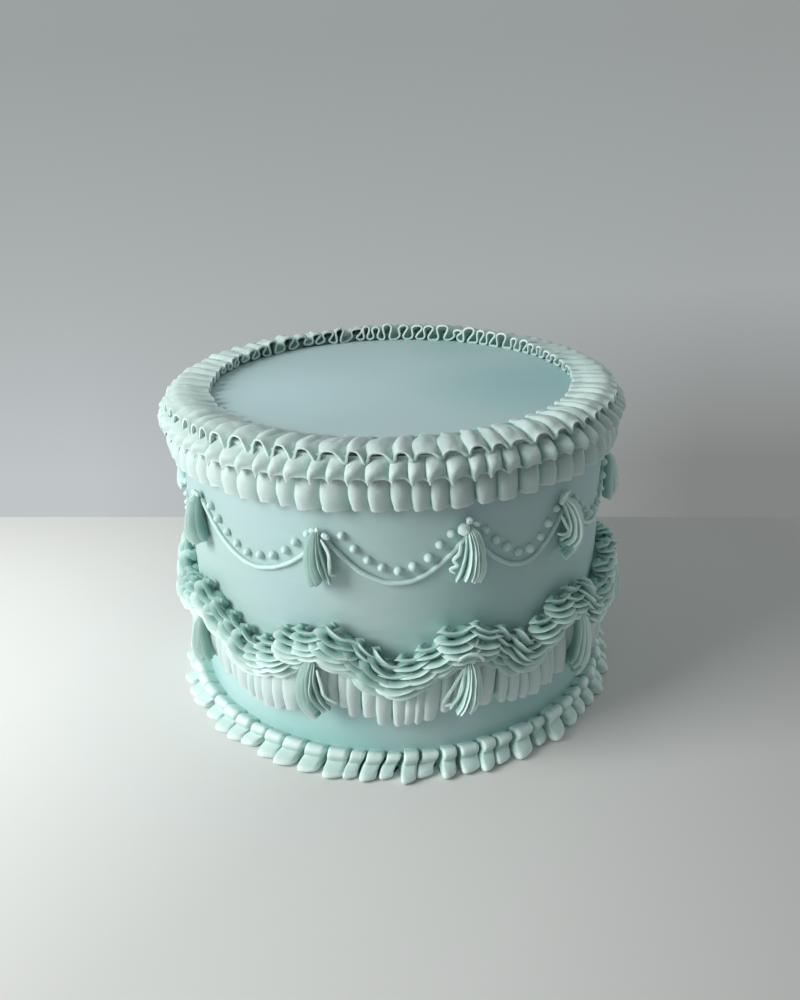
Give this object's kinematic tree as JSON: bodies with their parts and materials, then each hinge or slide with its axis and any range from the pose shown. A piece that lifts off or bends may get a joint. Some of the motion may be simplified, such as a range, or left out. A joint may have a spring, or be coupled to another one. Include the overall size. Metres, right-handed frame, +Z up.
{
  "type": "lambeth cake",
  "caption": "Round buttercream cake in pale blue-green with pleated ruffles round the rim, string swags with beads, tassels, a shell garland and a border of leaves.",
  "frame": {"origin": "centre of the flat bottom face of the cake", "axes": "+Z up along the axis of the cake, -Y towards the front of the picture, +X to the right"},
  "size_m": [0.1949, 0.1928, 0.1317],
  "materials": {
    "sage_icing": "smoothed buttercream, matt with a faint sheen",
    "pale_icing": "piped buttercream, soft satin",
    "grey_mint_icing": "piped buttercream, soft satin",
    "mint_icing": "piped buttercream, soft satin"
  },
  "bodies": {
    "root": {"cake": "sage_icing", "top_ruffle": "pale_icing", "side_ruffle_upper": "pale_icing", "side_ruffle_lower": "pale_icing", "base_border": "mint_icing", "shell_garland_01": "mint_icing", "shell_garland_02": "mint_icing", "shell_garland_03": "mint_icing", "shell_garland_04": "mint_icing", "shell_garland_05": "mint_icing", "shell_garland_06": "mint_icing", "shell_garland_07": "mint_icing", "shell_garland_08": "mint_icing", "shell_garland_09": "mint_icing", "shell_garland_10": "mint_icing", "garland_ruffle_01": "grey_mint_icing", "garland_ruffle_02": "grey_mint_icing", "garland_ruffle_03": "grey_mint_icing", "garland_ruffle_04": "grey_mint_icing", "garland_ruffle_05": "grey_mint_icing", "garland_ruffle_06": "grey_mint_icing", "garland_ruffle_07": "grey_mint_icing", "garland_ruffle_08": "grey_mint_icing", "garland_ruffle_09": "grey_mint_icing", "garland_ruffle_10": "grey_mint_icing", "upper_tassel_01": "mint_icing", "upper_tassel_02": "mint_icing", "upper_tassel_03": "mint_icing", "upper_tassel_04": "mint_icing", "upper_tassel_05": "mint_icing", "upper_tassel_06": "mint_icing", "upper_tassel_07": "mint_icing", "upper_tassel_08": "mint_icing", "upper_tassel_09": "mint_icing", "upper_tassel_10": "mint_icing", "lower_tassel_01": "mint_icing", "lower_tassel_02": "mint_icing", "lower_tassel_03": "mint_icing", "lower_tassel_04": "mint_icing", "lower_tassel_05": "mint_icing", "lower_tassel_06": "mint_icing", "lower_tassel_07": "mint_icing", "lower_tassel_08": "mint_icing", "lower_tassel_09": "mint_icing", "lower_tassel_10": "mint_icing"}
  },
  "joints": []
}
